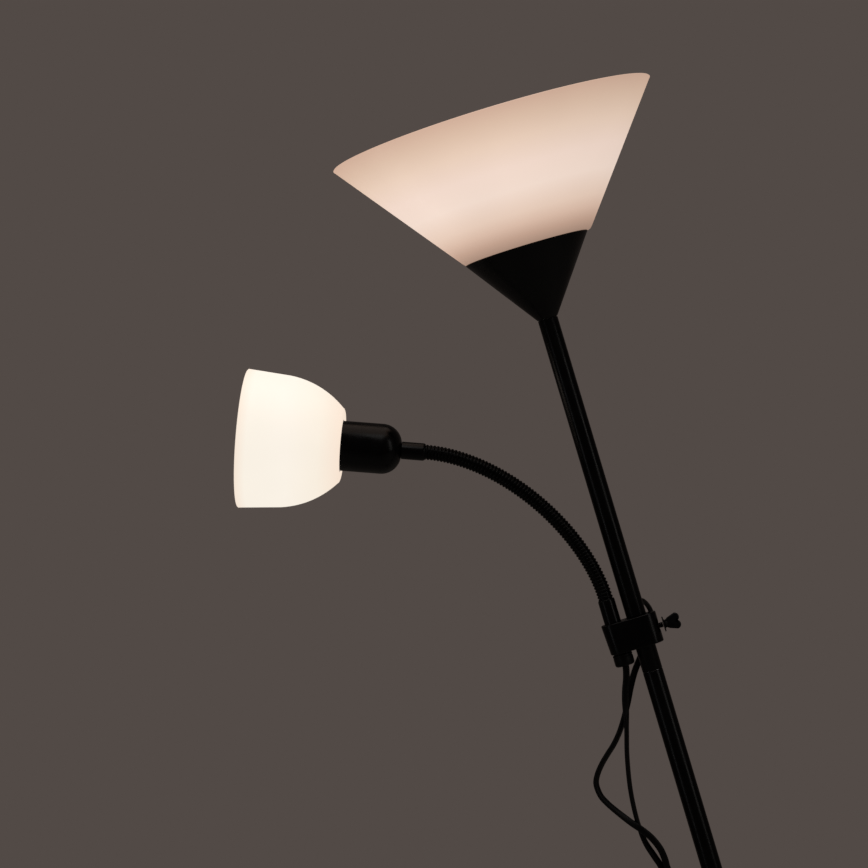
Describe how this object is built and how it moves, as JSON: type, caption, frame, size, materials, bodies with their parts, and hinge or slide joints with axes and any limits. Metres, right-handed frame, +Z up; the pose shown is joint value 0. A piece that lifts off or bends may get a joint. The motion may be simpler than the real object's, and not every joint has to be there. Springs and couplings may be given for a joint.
{
  "type": "floor lamp",
  "caption": "Floor lamp: a slim pole on a round weighted base carries an upward cone shade, a clamped flexible arm with a reading shade and a switch hanging on its cords.",
  "frame": {"origin": "centre of the base's underside, on the pole's axis", "axes": "+Z up along the pole, +X away from the reading arm, -Y towards the front"},
  "size_m": [0.5356, 0.5158, 1.7558],
  "materials": {
    "black_paint": "satin black powder coat",
    "black_plastic": "satin black moulded plastic",
    "black_cord": "black PVC cord",
    "felt": "black felt",
    "iron": "rough cast weight",
    "steel": "zinc plated",
    "brass": "plain turned brass",
    "holder": "off-white heat-proof plastic",
    "opal": "opal plastic, lit from inside",
    "bulb_glass": "frosted glass, lit"
  },
  "bodies": {
    "stand": {"base_pad": "felt", "base_ballast": "iron", "base_cover": "black_paint", "base_bolt": "steel", "base_washer": "steel", "base_collar": "black_paint", "pole_foot_plug": "steel", "pole_tube_1": "black_paint", "pole_tube_2": "black_paint", "pole_tube_3": "black_paint", "pole_tube_4": "black_paint", "pole_joiner_1": "steel", "pole_joiner_2": "steel", "pole_joiner_3": "steel", "pole_top_plug": "steel", "pole_grommet": "black_plastic", "uplight_nipple": "steel", "uplight_cup": "black_paint", "uplight_locknut": "brass", "uplight_lampholder": "holder", "uplight_shade_ring": "holder", "uplight_shade": "opal", "uplight_bulb_cap": "steel", "uplight_bulb_glass": "bulb_glass", "mains_cord": "black_cord", "mains_coil": "black_cord", "plug_body": "black_plastic", "plug_pin_1": "steel", "plug_pin_2": "steel"},
    "hanging_switch": {"switch_front_shell": "black_plastic", "switch_back_shell": "black_plastic", "switch_screw": "steel", "switch_boot": "black_plastic", "uplight_cord": "black_cord", "reading_cord": "black_cord"},
    "rocker_uplight": {"switch_rocker_uplight": "black_plastic"},
    "rocker_reading": {"switch_rocker_reading": "black_plastic"},
    "clamp": {"arm_clamp": "black_paint", "clamp_liner": "black_plastic", "clamp_thread_insert": "brass"},
    "wing_screw": {"wing_screw_shank": "steel", "wing_screw_head": "black_plastic"},
    "arm": {"arm_ferrule": "black_paint", "arm_gland": "black_plastic", "neck_link_1": "black_paint"},
    "neck_2": {"neck_link_2": "black_paint"},
    "neck_3": {"neck_link_3": "black_paint"},
    "neck_4": {"neck_link_4": "black_paint"},
    "neck_5": {"neck_link_5": "black_paint"},
    "neck_6": {"neck_link_6": "black_paint"},
    "reading_head": {"neck_link_7": "black_paint", "head_ferrule": "black_paint", "head_locknut": "brass", "reading_cup": "black_paint", "reading_lampholder": "holder", "reading_shade_ring": "holder", "reading_shade": "opal", "reading_bulb_cap": "steel", "reading_bulb_glass": "bulb_glass"}
  },
  "joints": [
    {"name": "clamp_turn", "type": "hinge", "parent": "stand", "child": "hanging_switch", "pos_m": [0, 0, 1.2108], "axis": [0, 0, 1], "range_deg": [-45, 60], "deforming": ["uplight_cord", "reading_cord", "mains_cord"]},
    {"name": "clamp_slide", "type": "slide", "parent": "hanging_switch", "child": "clamp", "axis": [0, 0, 1], "range_m": [-0.03, 0.008], "deforming": ["uplight_cord", "reading_cord"]},
    {"name": "wing_screw_turn", "type": "hinge", "parent": "clamp", "child": "wing_screw", "pos_m": [0.0325, 0, 1.2108], "axis": [1, 0, 0], "range_deg": [-90, 360]},
    {"name": "arm_swivel", "type": "hinge", "parent": "clamp", "child": "arm", "pos_m": [-0.0253, 0, 1.2108], "axis": [0, 0, 1], "range_deg": [-115, 115], "deforming": ["reading_cord"]},
    {"name": "neck_bend_1", "type": "hinge", "parent": "arm", "child": "neck_2", "pos_m": [-0.02954, 0, 1.28806], "axis": [0, -1, 0], "range_deg": [-5, 11]},
    {"name": "neck_bend_2", "type": "hinge", "parent": "neck_2", "child": "neck_3", "pos_m": [-0.04041, 0, 1.32252], "axis": [0, -1, 0], "range_deg": [-5, 11]},
    {"name": "neck_bend_3", "type": "hinge", "parent": "neck_3", "child": "neck_4", "pos_m": [-0.05628, 0, 1.355], "axis": [0, -1, 0], "range_deg": [-5, 11]},
    {"name": "neck_bend_4", "type": "hinge", "parent": "neck_4", "child": "neck_5", "pos_m": [-0.07644, 0, 1.38501], "axis": [0, -1, 0], "range_deg": [-5, 11]},
    {"name": "neck_bend_5", "type": "hinge", "parent": "neck_5", "child": "neck_6", "pos_m": [-0.10062, 0, 1.41188], "axis": [0, -1, 0], "range_deg": [-5, 11]},
    {"name": "neck_bend_6", "type": "hinge", "parent": "neck_6", "child": "reading_head", "pos_m": [-0.12878, 0, 1.43451], "axis": [0, -1, 0], "range_deg": [-5, 11]},
    {"name": "rocker_uplight_tilt", "type": "hinge", "parent": "hanging_switch", "child": "rocker_uplight", "pos_m": [-0.038, -0.01, 0.903], "axis": [1, 0, 0], "range_deg": [0, 16]},
    {"name": "rocker_reading_tilt", "type": "hinge", "parent": "hanging_switch", "child": "rocker_reading", "pos_m": [-0.053, -0.01, 0.903], "axis": [1, 0, 0], "range_deg": [0, 16]}
  ]
}
